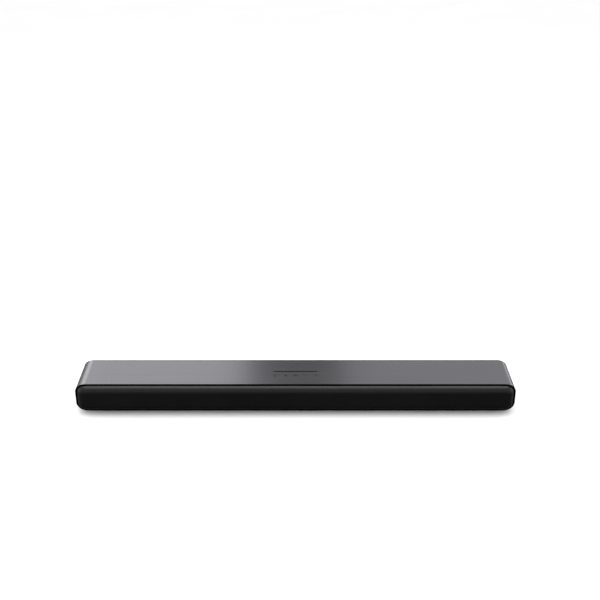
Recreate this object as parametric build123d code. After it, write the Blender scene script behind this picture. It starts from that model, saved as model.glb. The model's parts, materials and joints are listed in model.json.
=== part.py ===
"""A slim television soundbar: brushed wrap-round cabinet, black front rim, proud perforated grille,
five flush keys, two racetrack woofers, two dome tweeters and the electronics between them.

Frame: X runs along the bar, -Y is the front, +Z is up. The origin is the middle of the footprint,
on the surface that the rubber feet stand on. Millimetres."""

from build123d import *
from math import cos, radians, sin
import os

# ---------------------------------------------------------------- driving dimensions
LENGTH = 810.0
DEPTH = 100.0
HEIGHT = 60.0
FOOT_HEIGHT = 3.5              # cabinet's underside above the table
TOP_CORNER = (19.5, 16.0)      # width and height of the outline's elliptical corners, upper
BOTTOM_CORNER = (20.5, 17.5)   # and lower
WALL = 2.0
RIB_THICK = 1.6
FIT = 0.15                     # gap between moulded pieces
SINK = 0.5                     # how far a rib or boss runs into the wall that it grows from
PAST = 1.0                     # how far a cut runs past the face that it opens

# front stack
RIM_INNER = 3.4                # black rim round the grille, from the cabinet's outline inwards
RIM_FLANGE = 0.6               # the rim covers the cabinet's front edge by this much
RIM_ROUND = 0.3
TONGUE_LENGTH = 6.2            # the part of the rim that plugs into the cabinet
GRILLE_PROUD = 9.5             # how far the grille stands in front of the rim
GRILLE_SHEET = 0.8
CROWN_WIDTH = 11.0             # border over which the grille curves forward to its flat face
CROWN_POWER = 6                # higher is squarer
CROWN_STEPS = 7
CROWN_CROWDING = 1.5           # above 1, the sections crowd towards the rim, where the crown is steepest
CLOTH_THICK = 0.3
BAFFLE_SETBACK = 6.5           # behind the rim
BAFFLE_THICK = 3.0
BAFFLE_RIB = 2.0
BAFFLE_RIB_X = (-290, -150, -75, 75, 150, 290)
BAFFLE_RIB_Z = (12, 50)

# keys and light bar in the top
KEY_NAMES = ["power_key", "input_key", "pairing_key", "volume_down_key", "volume_up_key"]
KEY_PITCH = 19.15
KEY_SIZE = (15.0, 9.0)
KEY_CORNER = 1.2
KEY_EDGE_ROUND = 0.2
KEY_GAP = 0.15
KEY_TRAVEL = 0.6
KEY_SETBACK = 31.0             # keys' middle line behind the rim
FLANGE_LIP = 1.0               # a key's hidden flange is wider than its cap by this much
STEM_RADIUS = 1.7
LIGHT_BAR_SIZE = (81.7, 3.4)
LIGHT_BAR_SETBACK = 46.6
LIGHT_BAR_SUNK = 0.25
LAMP_COUNT = 9
LAMP_PITCH = 9.0
KEY_BOARD_TOP_Z = 52.0
KEY_BOARD_HALF = 57.0
KEY_BOARD_SCREW_X = 52.0
SWITCH_HEIGHT = 3.5
SWITCH_HALF = 3.0
SWITCH_WELL = 1.7

# woofers
WOOFER_X = 225.0
WOOFER_FLANGE = (110.0, 45.6)
WOOFER_OPENING = (94.0, 38.0)  # surround's outer edge
WOOFER_TRAY = (93.0, 38.0)
WOOFER_SCREWS = (49.0, 15.5)   # from the driver's middle
FLANGE_THICK = 2.2
TRAY_BACK = 2.0
TRAY_WALL = 1.5
BASKET_DEPTH = 22.0
CONE_OUTER = (82.0, 26.0)
CONE_RIM = 1.0                 # flat border that the surround is glued to
SURROUND_SHEET = 0.6
COIL_RADIUS = 10.0
COIL_SETBACK = 11.0            # coil former's front end, behind the baffle's face
SPIDER_SETBACK = 17.5
SPIDER_RADIUS = 16.9
SPIDER_WAVES = 8
MAGNET_RADIUS = 22.0
PLATE_RADIUS = 19.5
POLE_GAP = 0.9
DUST_CAP_RADIUS = 11.5
DUST_CAP_RISE = 3.5

# tweeters
TWEETER_X = 335.0
TWEETER_FLANGE_RADIUS = 19.5
TWEETER_OPENING_RADIUS = 15.0
TWEETER_MAGNET_RADIUS = 14.8
TWEETER_DEPTH = 15.0
TWEETER_SCREW_REACH = 16.8
FLARE_RADIUS = 14.5
DOME_RADIUS = 9.5
DOME_RISE = 4.0
COIL_CLEARANCE = 0.6

# boards and what stands on them
BOARD_THICK = 1.6
BOARD_Z = 13.0                 # underside of the two large boards
BOARD_Y = (-27.0, 33.0)
POWER_BOARD_X = (-128.0, -27.0)
MAIN_BOARD_X = (-23.0, 122.0)
BOARD_SCREW_INSET = 5.0
BOARD_REAR_SCREW_INSET = 18.0
CHIPS = [                      # middle x, middle y, width, depth, height
    (20.0, -8.0, 14.0, 14.0, 1.2),
    (-8.0, 5.0, 8.0, 8.0, 1.0),
    (42.0, -12.0, 9.0, 6.0, 1.0),
    (2.0, -17.0, 6.0, 10.0, 1.4),
    (104.0, 20.0, 8.0, 12.0, 3.0),
]
POWER_PARTS = [                # relay, film capacitor and bridge rectifier, columns as for CHIPS
    (-113.0, 7.0, 10.0, 10.0, 9.0),
    (-96.0, -13.0, 8.0, 18.0, 12.0),
    (-42.0, -19.0, 8.0, 10.0, 4.0),
]
CAPACITORS = [                 # x, y, radius, height
    (-112.0, -14.0, 9.0, 25.0),
    (-112.0, 24.0, 8.0, 22.0),
    (-52.0, 4.0, 5.0, 16.0),
]
TRANSFORMER = (-74.0, -2.0)
HEATSINK_X = (56.0, 96.0)
HEATSINK_Y = (-14.0, 14.0)
HEATSINK_HEIGHT = 20.0
FIN_COUNT = 9
FIN_PITCH = 4.75
FIN_THICK = 2.0
RIBBON_X = (16.0, 28.0)
RIBBON_THICK = 0.4
RIBBON_BEND = 2.5
RIBBON_SOCKET_X = (14.0, 30.0)
RIBBON_SOCKET_Y = (7.0, 12.0)
SOCKET_HEIGHT = 2.0
SPEAKER_PLUG_X = (-8.0, 106.0)
SPEAKER_PLUG_Y = -20.0
SPEAKER_PLUG = (8.0, 6.0, 5.0)
IR_X = 44.0                    # infrared receiver, in the baffle
IR_WINDOW = 4.2
IR_LENS_RADIUS = 2.6

# leads inside the cabinet
LEAD_RADIUS = 1.1
LEAD_BEND = 2.8
LEAD_LANE_Y = -28.7
LEAD_LIFT = 2.2                # lead's centre above the floor
LEAD_END_Y = -12.0
LEAD_END_Z = 24.0
LEAD_NEAR, LEAD_FAR = 53.0, 51.0   # where leads rise, each side of a woofer's middle

# rear panel and its sockets
REAR_THICK = 2.5
BAY_HALF = 68.0                # connector bay
BAY_Z = (9.5, 42.0)
BAY_DEPTH = 12.0
BAY_WALL = 2.0
SOCKET_BACK_Y = 20.0
SOCKET_GAP = 0.3               # round each socket in the bay's wall
VIDEO_X, VIDEO_SIZE = -8.0, (15.4, 6.2)
USB_X, USB_SIZE = 36.0, (14.4, 7.0)
OPTICAL_X, OPTICAL_WIDTH = 16.0, 12.0
OPTICAL_RISE = 5.5             # light pipe's axis above the board
OPTICAL_HALF = 4.3
OPTICAL_TOP = 6.2
SHUTTER_THICK = 0.9
SHUTTER_SETBACK = 1.6
PIN_RADIUS = 0.6
AUX_X = 54.0
AUX_RISE = 4.4
AUX_BORE = 1.8
AUX_DEPTH = 15.0
AUX_COLLAR = 3.9
INLET_X = -46.0
INLET_RISE = 7.5
INLET_HALF, INLET_TOP = 12.0, 7.0
INLET_OPENING = (17.0, 8.8)
INLET_PIN = (4.3, 1.2)         # offset from the middle, radius
INSERT_SPACING = 500.0         # wall bracket inserts
INSERT_Z = 42.0
INSERT_HOLE_RADIUS = 2.1
INSERT_RADIUS = 3.6
INSERT_LENGTH = 9.0
INSERT_BOSS = (6.5, 13.0)      # radius, length
VENT_COUNT = 12
VENT_PITCH = 5.0
VENT_START_X = 108.0
VENT_SIZE = (2.2, 18.0)
VENT_Z = 27.0

# fasteners and feet
SCREW_RADIUS = 1.5
SCREW_HEAD_RADIUS = 3.0
SCREW_HEAD = 2.0
SCREW_SUNK = 3.5               # depth of the wells under the cabinet
WELL_RADIUS = 5.5
WELL_HEIGHT = 7.8
BOSS_RADIUS = 4.0
BOSS_START = 8.0               # lower end of the shell's bosses, above the underside
CABINET_BOSS_X = (-380.0, -296.0, -150.0, 150.0, 296.0, 380.0)
CABINET_BOSS_Y = (-20.0, 34.0)
REAR_BOSS_X = (-372.0, -200.0, -100.0, 100.0, 200.0, 372.0)
REAR_BOSS_Z = 51.0
REAR_BOSS_RADIUS = 3.4
REAR_BOSS_LENGTH = 17.0
REAR_SCREW_SUNK = 1.0
DRIVER_PILOT = 1.3
BOARD_PILOT = 1.1
STANDOFF_RADIUS = 3.2
FOOT_X, FOOT_Y = 318.0, 27.0
FOOT_SIZE = (56.0, 12.0)
FOOT_RECESS = 1.0
FOOT_ROUND = 1.0

# structure of the bottom cover and shell
CHAMBER_X = (135.0, 137.0)     # walls between the drivers and the electronics
CHAMBER_TOP_Z = 46.0
FLOOR_RIB_X = (-360, -270, -180, 180, 270, 360)
CEILING_RIB_X = (-340, -250, -60, 60, 250, 340)
LIP_THICK = 1.25

# ---------------------------------------------------------------- derived places
FRONT_Y = -DEPTH / 2
REAR_Y = DEPTH / 2
RIM_Y = FRONT_Y + GRILLE_PROUD
BASE_Z = FOOT_HEIGHT
TOP_Z = HEIGHT
MIDDLE_Z = (BASE_Z + TOP_Z) / 2
PARTING_Z = BASE_Z + BOTTOM_CORNER[1]
CEILING_Z = TOP_Z - WALL
FLOOR_Z = BASE_Z + WALL
TONGUE_END_Y = RIM_Y + TONGUE_LENGTH
GRILLE_INSET = RIM_INNER + FIT
BAFFLE_Y = RIM_Y + BAFFLE_SETBACK
BAFFLE_BACK_Y = BAFFLE_Y + BAFFLE_THICK
DRIVER_FRONT_Y = BAFFLE_Y - FLANGE_THICK
KEY_Y = RIM_Y + KEY_SETBACK
LIGHT_BAR_Y = RIM_Y + LIGHT_BAR_SETBACK
SWITCH_TOP_Z = KEY_BOARD_TOP_Z + SWITCH_HEIGHT
KEY_BOARD_SCREWS = [
    (x, y) for x in (-KEY_BOARD_SCREW_X, KEY_BOARD_SCREW_X) for y in (KEY_Y - 9, LIGHT_BAR_Y + 5)
]
COIL_FRONT_Y = BAFFLE_Y + COIL_SETBACK
SPIDER_Y = BAFFLE_Y + SPIDER_SETBACK
BASKET_BACK_Y = BAFFLE_Y + BASKET_DEPTH
BOARD_TOP_Z = BOARD_Z + BOARD_THICK
SOCKET_FACE_Y = REAR_Y - BAY_DEPTH
OPTICAL_Z = BOARD_TOP_Z + OPTICAL_RISE
SHUTTER_Y = SOCKET_FACE_Y - SHUTTER_SETBACK
SHUTTER_Z = OPTICAL_Z + OPTICAL_HALF - 0.9
AUX_Z = BOARD_TOP_Z + AUX_RISE
INLET_Z = BOARD_TOP_Z + INLET_RISE


# ---------------------------------------------------------------- helpers
def box(x, y, z):
    """A box between two limits on each axis."""
    return Pos(sum(x) / 2, sum(y) / 2, sum(z) / 2) * Box(x[1] - x[0], y[1] - y[0], z[1] - z[0])


def block(x, y, width, depth, z):
    """A box about a middle point, between two heights."""
    return box((x - width / 2, x + width / 2), (y - depth / 2, y + depth / 2), z)


def rib(x, y, z, thick=RIB_THICK):
    return box((x - thick / 2, x + thick / 2), y, z)


def rod_x(radius, length, x, y, z):
    return Pos(x, y, z) * Rot(0, 90, 0) * Cylinder(radius, length)


def rod_y(radius, y, x=0.0, z=MIDDLE_Z):
    """A cylinder along Y between two limits."""
    return Pos(x, sum(y) / 2, z) * Rot(90, 0, 0) * Cylinder(radius, y[1] - y[0])


def rod_z(radius, z, x=0.0, y=0.0):
    return Pos(x, y, sum(z) / 2) * Cylinder(radius, z[1] - z[0])


def tube_y(outer, inner, y, x=0.0, z=MIDDLE_Z):
    return rod_y(outer, y, x, z) - rod_y(inner, (y[0] - PAST, y[1] + PAST), x, z)


def outline(inset):
    """The cabinet's end outline, in XZ, moved inwards by inset: straight sides and elliptical corners."""
    side, top, bottom = LENGTH / 2 - inset, TOP_Z - inset, BASE_Z + inset
    top_x, top_z = (size - inset for size in TOP_CORNER)
    low_x, low_z = (size - inset for size in BOTTOM_CORNER)
    edges = [
        Line((-side + top_x, top), (side - top_x, top)),
        EllipticalCenterArc((side - top_x, top - top_z), top_x, top_z, 0, arc_size=90),
        Line((side, top - top_z), (side, bottom + low_z)),
        EllipticalCenterArc((side - low_x, bottom + low_z), low_x, low_z, 270, arc_size=90),
        Line((side - low_x, bottom), (-side + low_x, bottom)),
        EllipticalCenterArc((-side + low_x, bottom + low_z), low_x, low_z, 180, arc_size=90),
        Line((-side, bottom + low_z), (-side, top - top_z)),
        EllipticalCenterArc((-side + top_x, top - top_z), top_x, top_z, 90, arc_size=90),
    ]
    return Plane.XZ * make_face(edges)


def slab(inset, y):
    """The outline between two depths."""
    return Pos(0, y[1], 0) * extrude(outline(inset), y[1] - y[0], dir=(0, -1, 0))


def ring(outer, inner, y):
    return slab(outer, y) - slab(inner, (y[0] - PAST, y[1] + PAST))


def between(z):
    """Everything between two heights."""
    return box((-LENGTH, LENGTH), (-DEPTH, DEPTH), z)


def rounded_y(size, radius, y, x=0.0, z=MIDDLE_Z):
    """A rounded rectangle in XZ, between two depths."""
    face = Plane.XZ * RectangleRounded(size[0], size[1], radius)
    return Pos(x, y[1], z) * extrude(face, y[1] - y[0], dir=(0, -1, 0))


def rounded_z(size, radius, z, x=0.0, y=0.0):
    """A rounded rectangle in XY, between two heights."""
    return Pos(x, y, z[0]) * extrude(RectangleRounded(size[0], size[1], radius), z[1] - z[0])


def grown(size, amount):
    return (size[0] + amount, size[1] + amount)


def end_radius(size):
    """The corner radius that makes a rounded rectangle a racetrack."""
    return size[1] / 2 - 0.05


def racetrack_y(size, y, x=0.0, z=MIDDLE_Z):
    return rounded_y(size, end_radius(size), y, x, z)


def funnel_y(front, back, y, x=0.0, z=MIDDLE_Z):
    """A solid lofted from a front racetrack to a back one."""
    faces = [
        Plane.XZ * Pos(0, 0, -at) * RectangleRounded(size[0], size[1], end_radius(size))
        for size, at in ((front, y[0]), (back, y[1]))
    ]
    return Pos(x, 0, z) * loft(faces)


def turned_y(points, x=0.0, z=MIDDLE_Z):
    """A closed polygon of (radius, y) points turned about the Y axis."""
    face = Plane.XY * make_face(Polyline(*[(r, y, 0) for r, y in points], close=True))
    return Pos(x, 0, z) * revolve(face, Axis.Y)


def dome_y(radius, rise, sheet, base_y, x):
    """A thin spherical cap that bulges towards -Y from its base."""
    sphere_radius = (radius**2 + rise**2) / (2 * rise)
    centre = Pos(x, base_y + sphere_radius - rise, MIDDLE_Z)
    return centre * Sphere(sphere_radius) - centre * Sphere(sphere_radius - sheet)


def key_x(i):
    return (i - (len(KEY_NAMES) - 1) / 2) * KEY_PITCH


# ---------------------------------------------------------------- cabinet
def cabinet_sleeve():
    """The wrap-round wall, from behind the rim's flange to the rear."""
    return ring(0, WALL, (RIM_Y + RIM_FLANGE + FIT / 2, REAR_Y))


def rear_bosses():
    """Bosses under the ceiling that the rear cover is screwed to."""
    made = Part()
    boss_y = (REAR_Y - REAR_BOSS_LENGTH, REAR_Y - REAR_THICK - FIT)
    for x in REAR_BOSS_X:
        made += rod_y(REAR_BOSS_RADIUS, boss_y, x, REAR_BOSS_Z)
        made += rib(x, boss_y, (REAR_BOSS_Z, CEILING_Z + SINK), 2.0)
        made -= rod_y(SCREW_RADIUS + 0.1, (boss_y[0] + 2, REAR_Y), x, REAR_BOSS_Z)
    return made


def make_top_shell():
    shell = cabinet_sleeve() & between((PARTING_Z + FIT / 2, 2 * HEIGHT))
    for x in CABINET_BOSS_X:
        for y in CABINET_BOSS_Y:
            shell += rod_z(BOSS_RADIUS, (BASE_Z + BOSS_START, CEILING_Z + SINK), x, y)
            shell -= rod_z(SCREW_RADIUS + 0.1, (BASE_Z, BASE_Z + 22), x, y)
    shell += rear_bosses()
    for x, y in KEY_BOARD_SCREWS:
        shell += rod_z(3, (KEY_BOARD_TOP_Z, CEILING_Z + SINK), x, y)
        shell -= rod_z(BOARD_PILOT, (KEY_BOARD_TOP_Z - PAST, CEILING_Z), x, y)
    for x in CEILING_RIB_X:
        shell += rib(x, (-28, 40), (CEILING_Z - 3, CEILING_Z + SINK))
    cut = (CEILING_Z - 4, TOP_Z + PAST)
    for i in range(len(KEY_NAMES)):
        shell -= rounded_z(grown(KEY_SIZE, 2 * KEY_GAP), KEY_CORNER + KEY_GAP, cut, key_x(i), KEY_Y)
    return shell - light_bar_shape(KEY_GAP, cut)


def light_bar_shape(grow, z):
    return rounded_z(grown(LIGHT_BAR_SIZE, grow), KEY_CORNER, z, 0, LIGHT_BAR_Y)


def make_bottom_cover():
    cover = cabinet_sleeve() & between((-HEIGHT, PARTING_Z - FIT / 2))
    cover += locating_lip()
    for side in (-1, 1):
        cover += chamber_wall(side)
    for x in FLOOR_RIB_X:
        cover += rib(x, (-24, 40), (FLOOR_Z - SINK, FLOOR_Z + 1.5))
    # counterbored wells for the screws into the shell's bosses
    for x in CABINET_BOSS_X:
        for y in CABINET_BOSS_Y:
            cover += rod_z(WELL_RADIUS, (FLOOR_Z - SINK, BASE_Z + WELL_HEIGHT), x, y)
            cover -= rod_z(SCREW_HEAD_RADIUS + 0.4, (BASE_Z - PAST, BASE_Z + SCREW_SUNK), x, y)
            cover -= rod_z(SCREW_RADIUS + 0.2, (BASE_Z, BASE_Z + WELL_HEIGHT + PAST), x, y)
    # standoffs for the boards
    for x, y in board_screw_places():
        cover += rod_z(STANDOFF_RADIUS, (FLOOR_Z - SINK, BOARD_Z), x, y)
        cover -= rod_z(BOARD_PILOT, (FLOOR_Z + 1, BOARD_Z + PAST), x, y)
    for x, y in foot_places():
        cover -= foot_shape(2 * FIT, (BASE_Z - PAST, BASE_Z + FOOT_RECESS + 0.1), x, y)
    return cover


def locating_lip():
    """An inner lip that locates the top shell, and the bridge that joins it to the cover's wall."""
    y = (BAFFLE_BACK_Y + 1, REAR_Y - REAR_THICK - 1)
    inner = WALL + FIT + LIP_THICK
    lip = ring(WALL + FIT, inner, y) & between((PARTING_Z - 4, PARTING_Z + 3))
    return lip + (ring(WALL - SINK, inner, y) & between((PARTING_Z - 4, PARTING_Z - 1)))


def chamber_wall(side):
    """A wall beside the electronics, with a notch for the speaker leads."""
    near, far = CHAMBER_X
    wall = box(sorted((side * near, side * far)), (-30, 46), (FLOOR_Z - SINK, CHAMBER_TOP_Z))
    return wall - box(sorted((side * (near - PAST), side * (far + PAST))), (-31, -25), (FLOOR_Z, FLOOR_Z + 5))


def board_screw_places():
    front, rear = BOARD_Y[0] + BOARD_SCREW_INSET, BOARD_Y[1] - BOARD_REAR_SCREW_INSET
    ends = [x for left, right in (POWER_BOARD_X, MAIN_BOARD_X)
            for x in (left + BOARD_SCREW_INSET, right - BOARD_SCREW_INSET)]
    return [(x, y) for x in ends for y in (front, rear)]


def foot_places():
    return [(sx * FOOT_X, sy * FOOT_Y) for sy in (-1, 1) for sx in (-1, 1)]


def foot_shape(grow, z, x, y):
    size = grown(FOOT_SIZE, grow)
    return rounded_z(size, FOOT_SIZE[1] / 2 - 0.1, z, x, y)


def make_foot(x, y):
    foot = foot_shape(0, (0, BASE_Z + FOOT_RECESS), x, y)
    return fillet(foot.faces().sort_by(Axis.Z)[0].edges(), FOOT_ROUND)


# ---------------------------------------------------------------- front
def make_front_bezel():
    """Gloss black rim: a flange over the cabinet's front edge and a tongue that plugs inside it."""
    flange = ring(0, RIM_INNER, (RIM_Y, RIM_Y + RIM_FLANGE))
    flange = fillet(flange.faces().sort_by(Axis.Y)[0].edges(), RIM_ROUND)
    return flange + ring(WALL + FIT, RIM_INNER, (RIM_Y + RIM_FLANGE / 2, TONGUE_END_Y))


def pillow(sheet):
    """The grille's crowned shape in front of the rim, offset inwards by sheet."""
    proud = GRILLE_PROUD - sheet
    half_height = (TOP_Z - BASE_Z) / 2 - GRILLE_INSET
    flat = 1 - (1 - CROWN_WIDTH / half_height) ** CROWN_POWER
    sections = []
    for i in range(CROWN_STEPS):
        border = CROWN_WIDTH * (i / (CROWN_STEPS - 1)) ** CROWN_CROWDING
        forward = proud * (1 - (1 - border / half_height) ** CROWN_POWER) / flat
        sections.append(Pos(0, RIM_Y - forward, 0) * outline(GRILLE_INSET + sheet + border))
    return loft(sections)


def make_grille():
    """A pressed steel pan with a crowned face. Its skirt plugs into the rim."""
    outer = pillow(0) + slab(GRILLE_INSET, (RIM_Y, BAFFLE_Y - 1))
    return outer - pillow(GRILLE_SHEET) - slab(GRILLE_INSET + GRILLE_SHEET, (RIM_Y, BAFFLE_Y))


def make_grille_cloth():
    """Black acoustic cloth behind the perforations."""
    front = GRILLE_SHEET + 0.1
    return pillow(front) - pillow(front + CLOTH_THICK)


def make_baffle():
    """The moulded plate that carries the drivers."""
    plate = slab(WALL + 0.2, (BAFFLE_Y, BAFFLE_BACK_Y))
    through = (BAFFLE_Y - PAST, BAFFLE_BACK_Y + 2 * PAST)
    opening = (WOOFER_OPENING[0] + 4, WOOFER_OPENING[1] + 3.4)
    for side in (-1, 1):
        plate -= racetrack_y(opening, through, side * WOOFER_X)
        plate -= rod_y(TWEETER_OPENING_RADIUS, through, side * TWEETER_X)
    for x, z in driver_screw_places():
        plate -= rod_y(DRIVER_PILOT, through, x, z)
    plate -= block(IR_X, 0, 2 * IR_WINDOW, 2 * DEPTH, (MIDDLE_Z - IR_WINDOW, MIDDLE_Z + IR_WINDOW))
    for x in BAFFLE_RIB_X:
        plate += rib(x, (BAFFLE_BACK_Y - SINK, BAFFLE_BACK_Y + BAFFLE_RIB), BAFFLE_RIB_Z, 2.0)
    return plate


def make_light_bar():
    """Smoked diffuser that the status lights shine through."""
    return light_bar_shape(0, (KEY_BOARD_TOP_Z + 1.6, TOP_Z - LIGHT_BAR_SUNK))


# ---------------------------------------------------------------- keys
def make_key(i):
    """A flush key, with a flange that keeps it under the shell and a stem that works its switch."""
    x = key_x(i)
    cap = rounded_z(KEY_SIZE, KEY_CORNER, (CEILING_Z - SINK, TOP_Z), x, KEY_Y)
    cap = fillet(cap.faces().sort_by(Axis.Z)[-1].edges(), KEY_EDGE_ROUND)
    width, depth = grown(KEY_SIZE, 2 * FLANGE_LIP)
    flange_z = (CEILING_Z - 1.2, CEILING_Z - 0.2)
    stem = rod_z(STEM_RADIUS, (SWITCH_TOP_Z - 0.4, flange_z[0] + 0.2), x, KEY_Y)
    return cap + block(x, KEY_Y, width, depth, flange_z) + stem


def make_key_board():
    """Board under the keys, with the light bar's lamps on top and the ribbon's socket below."""
    low, top = KEY_BOARD_TOP_Z - BOARD_THICK, KEY_BOARD_TOP_Z
    board = box((-KEY_BOARD_HALF, KEY_BOARD_HALF), (KEY_Y - 13, LIGHT_BAR_Y + 9), (low, top))
    for x, y in KEY_BOARD_SCREWS:
        board -= rod_z(1.4, (low - PAST, top + PAST), x, y)
    for i in range(LAMP_COUNT):
        x = (i - (LAMP_COUNT - 1) / 2) * LAMP_PITCH
        board += block(x, LIGHT_BAR_Y, 3.2, 2.8, (top - 0.1, top + 1.2))
    return board + box(RIBBON_SOCKET_X, (LIGHT_BAR_Y + 3, LIGHT_BAR_Y + 8), (low - SOCKET_HEIGHT, low))


def make_key_switches():
    """Five tact switches, each a square body with a well over its contact dome."""
    made = []
    for i in range(len(KEY_NAMES)):
        x, size = key_x(i), 2 * SWITCH_HALF
        body = block(x, KEY_Y, size, size, (KEY_BOARD_TOP_Z, SWITCH_TOP_Z))
        body -= rod_z(STEM_RADIUS + FIT, (SWITCH_TOP_Z - SWITCH_WELL, SWITCH_TOP_Z + PAST), x, KEY_Y)
        contact = (SWITCH_TOP_Z - SWITCH_WELL - 0.1, SWITCH_TOP_Z - KEY_TRAVEL - 0.5)
        made.append(body + rod_z(1.2, contact, x, KEY_Y))
    return Compound(children=made)


# ---------------------------------------------------------------- woofers
def woofer_screw_places():
    across, up = WOOFER_SCREWS
    return [(sx * across, sz * up) for sx in (-1, 1) for sz in (-1, 1)]


def tweeter_screw_places():
    return [
        (TWEETER_SCREW_REACH * sin(radians(angle)), TWEETER_SCREW_REACH * cos(radians(angle)))
        for angle in (0, 120, 240)
    ]


def driver_screw_places():
    """Every driver screw on the baffle, as (x, z)."""
    made = []
    for places, x in ((woofer_screw_places(), WOOFER_X), (tweeter_screw_places(), TWEETER_X)):
        for side in (-1, 1):
            made += [(side * x + dx, MIDDLE_Z + dz) for dx, dz in places]
    return made


def make_basket(x):
    """Pressed frame: front flange, windowed tray and a ledge for the spider."""
    frame = racetrack_y(WOOFER_FLANGE, (DRIVER_FRONT_Y, BAFFLE_Y), x)
    frame += racetrack_y(WOOFER_TRAY, (BAFFLE_Y - 1, BASKET_BACK_Y), x)
    inside = grown(WOOFER_TRAY, -2 * TRAY_WALL)
    frame -= racetrack_y(inside, (BAFFLE_Y - 5, BASKET_BACK_Y - TRAY_BACK), x)
    back = (BASKET_BACK_Y - 5, BASKET_BACK_Y + PAST)
    frame -= rod_y(COIL_RADIUS + 3, back, x)
    windows = (BAFFLE_Y + 4, BASKET_BACK_Y - 5)
    for dx in (-26, 0, 26):
        frame -= box((x + dx - 10, x + dx + 10), windows, (0, HEIGHT))
    for side in (-1, 1):
        frame -= box(sorted((x + side * 30, x + side * 60)), windows, (MIDDLE_Z - 9, MIDDLE_Z + 9))
        frame -= rod_y(7, back, x + side * 33)
    for dx, dz in woofer_screw_places():
        frame -= rod_y(1.5, (DRIVER_FRONT_Y - PAST, BAFFLE_Y + PAST), x + dx, MIDDLE_Z + dz)
    return frame + tube_y(17.0, 15.2, (SPIDER_Y + FIT, BASKET_BACK_Y - TRAY_BACK / 2), x)


def make_woofer_magnet(x):
    """Front plate, ferrite ring and yoke with its pole, as three solids."""
    back = BASKET_BACK_Y
    front_plate = tube_y(PLATE_RADIUS, COIL_RADIUS + POLE_GAP, (back, back + 4), x)
    ferrite = tube_y(MAGNET_RADIUS, 14.0, (back + 4, back + 15), x)
    yoke = rod_y(PLATE_RADIUS, (back + 15, back + 19), x)
    yoke += rod_y(COIL_RADIUS - POLE_GAP, (back, back + 15.5), x)
    yoke = chamfer(yoke.faces().sort_by(Axis.Y)[-1].edges(), 0.8)
    return Compound(children=[front_plate, ferrite, yoke])


def make_cone(x):
    """Paper cone with a flat rim, racetrack at the front and round at the coil."""
    front, back = BAFFLE_Y - 3.4, COIL_FRONT_Y
    neck = 2 * COIL_RADIUS + 1.6
    cone = funnel_y(CONE_OUTER, (neck, neck), (front, back), x)
    cone += racetrack_y(grown(CONE_OUTER, 2 * CONE_RIM), (front - 0.6, front + 0.1), x)
    return cone - funnel_y(grown(CONE_OUTER, -1), (neck - 1.7, neck - 1.7), (front - 0.8, back + 0.2), x)


def make_surround(x):
    """Rubber half-roll between the cone's rim and the basket, with a lip glued to the basket."""
    inner = grown(CONE_OUTER, 2 * CONE_RIM + 0.3)
    width = (WOOFER_OPENING[0] - inner[0]) / 2
    middle = grown(inner, width)
    roll = racetrack_roll(middle, width / 2, x) - racetrack_roll(middle, width / 2 - SURROUND_SHEET, x)
    lip_y = (DRIVER_FRONT_Y - SURROUND_SHEET, DRIVER_FRONT_Y)
    lip = racetrack_y(grown(WOOFER_OPENING, 3), lip_y, x)
    lip -= racetrack_y(grown(WOOFER_OPENING, -1.2), (lip_y[0] - PAST, lip_y[1] + PAST), x)
    return roll + lip


def racetrack_roll(size, radius, x):
    """A half-round ridge on the driver's front plane, along a racetrack of that centre size."""
    half_straight, bend = (size[0] - size[1]) / 2, size[1] / 2
    made = Part()
    for sign in (-1, 1):
        end_x = x + sign * half_straight
        end = Pos(end_x, DRIVER_FRONT_Y, MIDDLE_Z) * Rot(90, 0, 0) * Torus(bend, radius)
        end &= box(sorted((end_x, end_x + sign * LENGTH)), (-DEPTH, DEPTH), (0, HEIGHT))
        made += rod_x(radius, 2 * half_straight, x, DRIVER_FRONT_Y, MIDDLE_Z + sign * bend) + end
    return made & box((x - LENGTH, x + LENGTH), (-DEPTH, DRIVER_FRONT_Y), (0, HEIGHT))


def make_dust_cap(x):
    """Shallow dome over the voice coil."""
    base_y = COIL_FRONT_Y - 2.0
    cap = dome_y(DUST_CAP_RADIUS, DUST_CAP_RISE, 0.5, base_y, x)
    return cap & rod_y(DUST_CAP_RADIUS - 1.3, (base_y - DUST_CAP_RISE - PAST, base_y - 0.5), x)


def make_voice_coil(x):
    former = tube_y(COIL_RADIUS, COIL_RADIUS - 0.3, (COIL_FRONT_Y - 0.5, BASKET_BACK_Y + 7), x)
    return former + tube_y(COIL_RADIUS + 0.5, COIL_RADIUS - 0.1, (BASKET_BACK_Y - 1, BASKET_BACK_Y + 5), x)


def make_spider(x):
    """Corrugated cloth disc that centres the coil."""
    inner, sheet, wave = COIL_RADIUS + 0.6, 0.4, 0.5
    front, back = [], []
    for i in range(SPIDER_WAVES + 1):
        radius = inner + (SPIDER_RADIUS - inner) * i / SPIDER_WAVES
        y = SPIDER_Y - wave * (i % 2)
        front.append((radius, y - sheet))
        back.append((radius, y))
    return turned_y(front + back[::-1], x)


# ---------------------------------------------------------------- tweeters
def make_tweeter_faceplate(x):
    """Round plate with a shallow flare round the dome."""
    throat = DOME_RADIUS + COIL_CLEARANCE
    profile = [
        (throat, BAFFLE_Y),
        (throat, DRIVER_FRONT_Y + 1.4),
        (FLARE_RADIUS, DRIVER_FRONT_Y),
        (TWEETER_FLANGE_RADIUS, DRIVER_FRONT_Y),
        (TWEETER_FLANGE_RADIUS, BAFFLE_Y),
    ]
    plate = turned_y(profile, x)
    for dx, dz in tweeter_screw_places():
        plate -= rod_y(1.5, (DRIVER_FRONT_Y - PAST, BAFFLE_Y + PAST), x + dx, MIDDLE_Z + dz)
    return plate


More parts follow.
